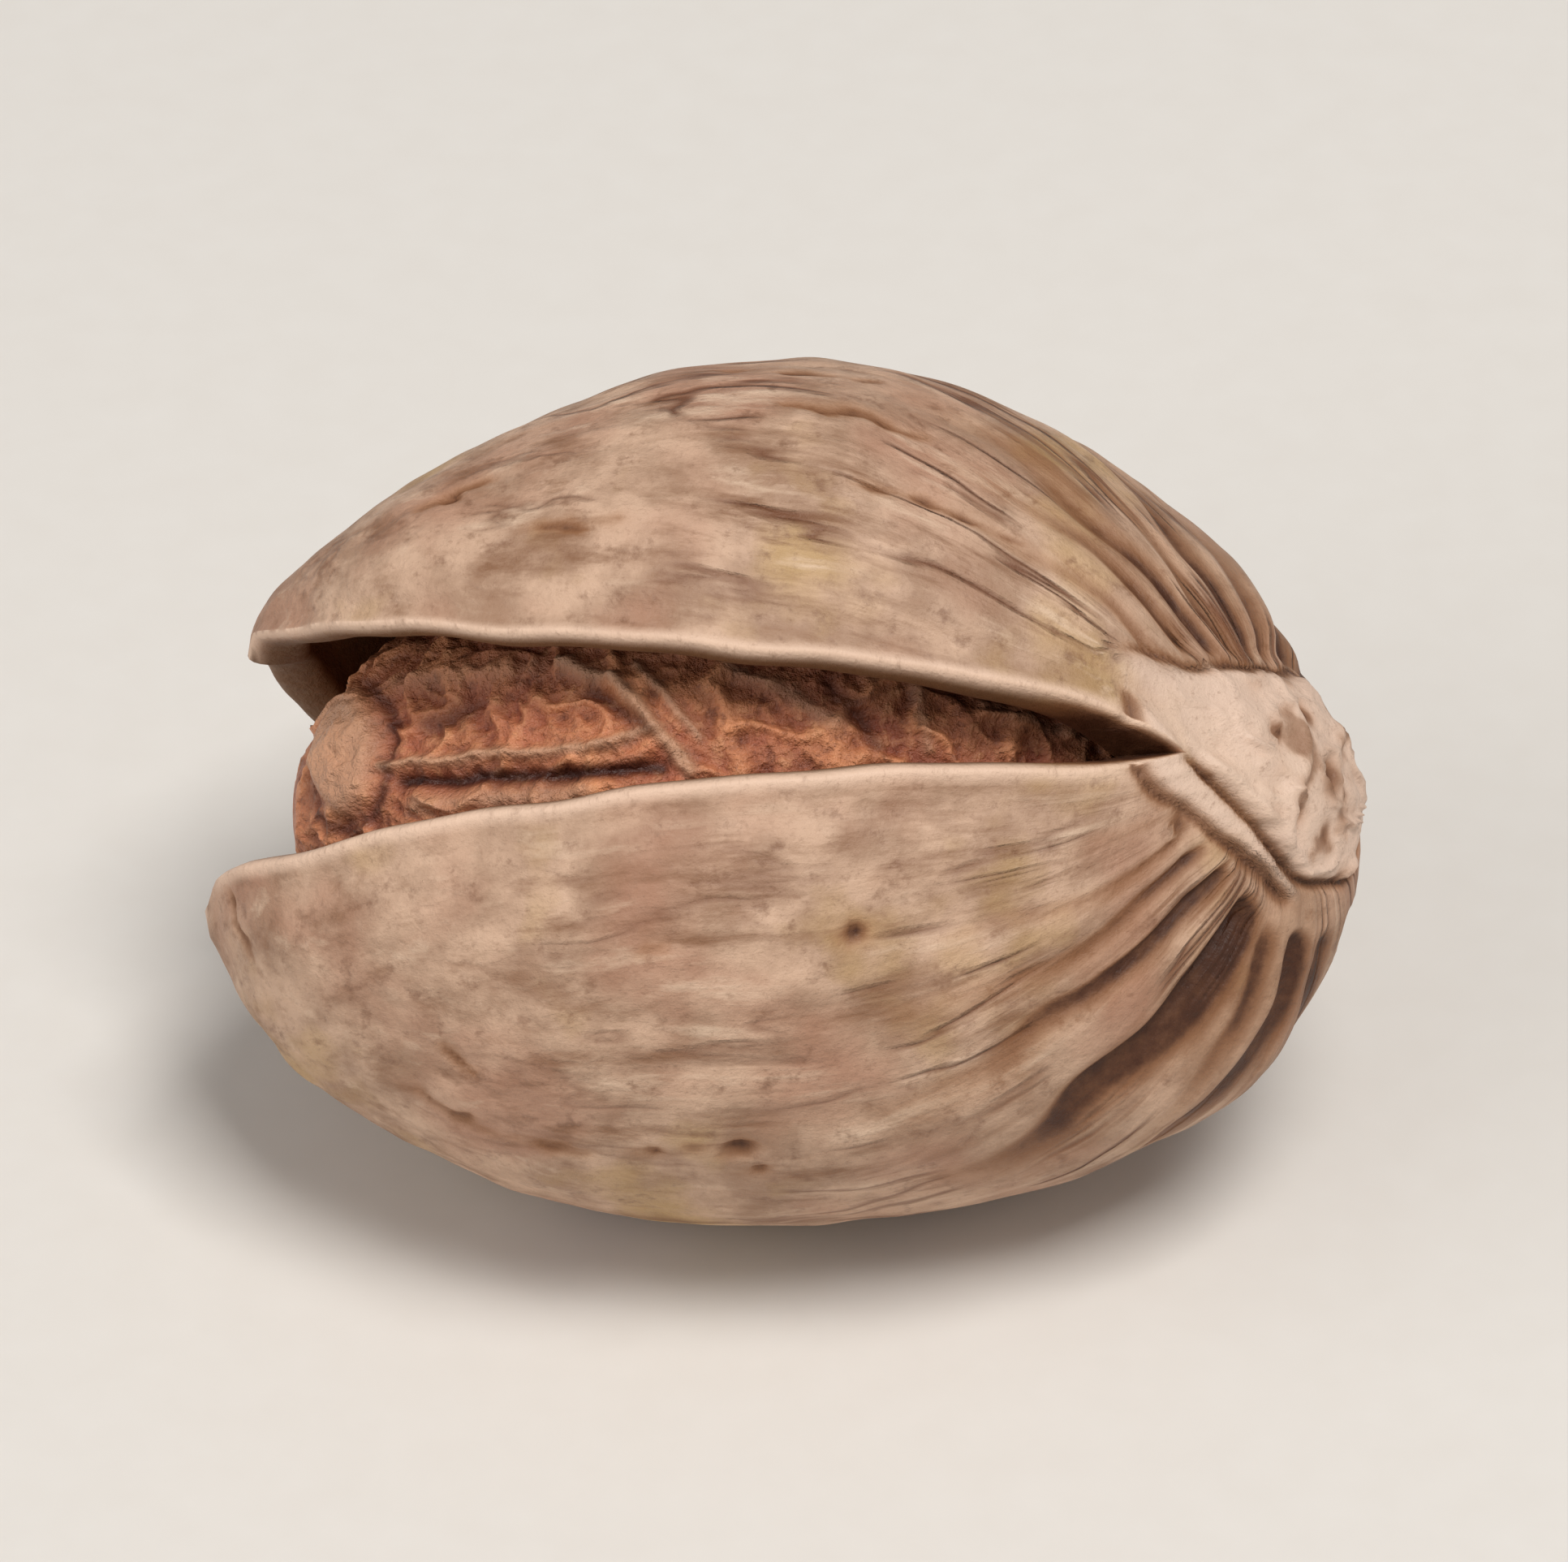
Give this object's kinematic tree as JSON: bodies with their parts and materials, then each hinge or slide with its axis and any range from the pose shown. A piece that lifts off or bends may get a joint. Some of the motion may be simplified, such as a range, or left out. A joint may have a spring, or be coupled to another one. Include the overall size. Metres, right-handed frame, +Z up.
{
  "type": "pistachio in shell",
  "caption": "Ripe pistachio nut in its split shell, lying on its side with the wrinkled kernel showing in the gape.",
  "frame": {"origin": "under the middle of the shell's box, level with the small flat spot that it rests on", "axes": "+X from the valve tips to the stem end, +Y away from the split, +Z up"},
  "size_m": [0.02, 0.0148, 0.0143],
  "materials": {
    "shell": "matte",
    "kernel": "satin"
  },
  "bodies": {
    "root": {"shell": "shell", "kernel": "kernel"}
  },
  "joints": []
}
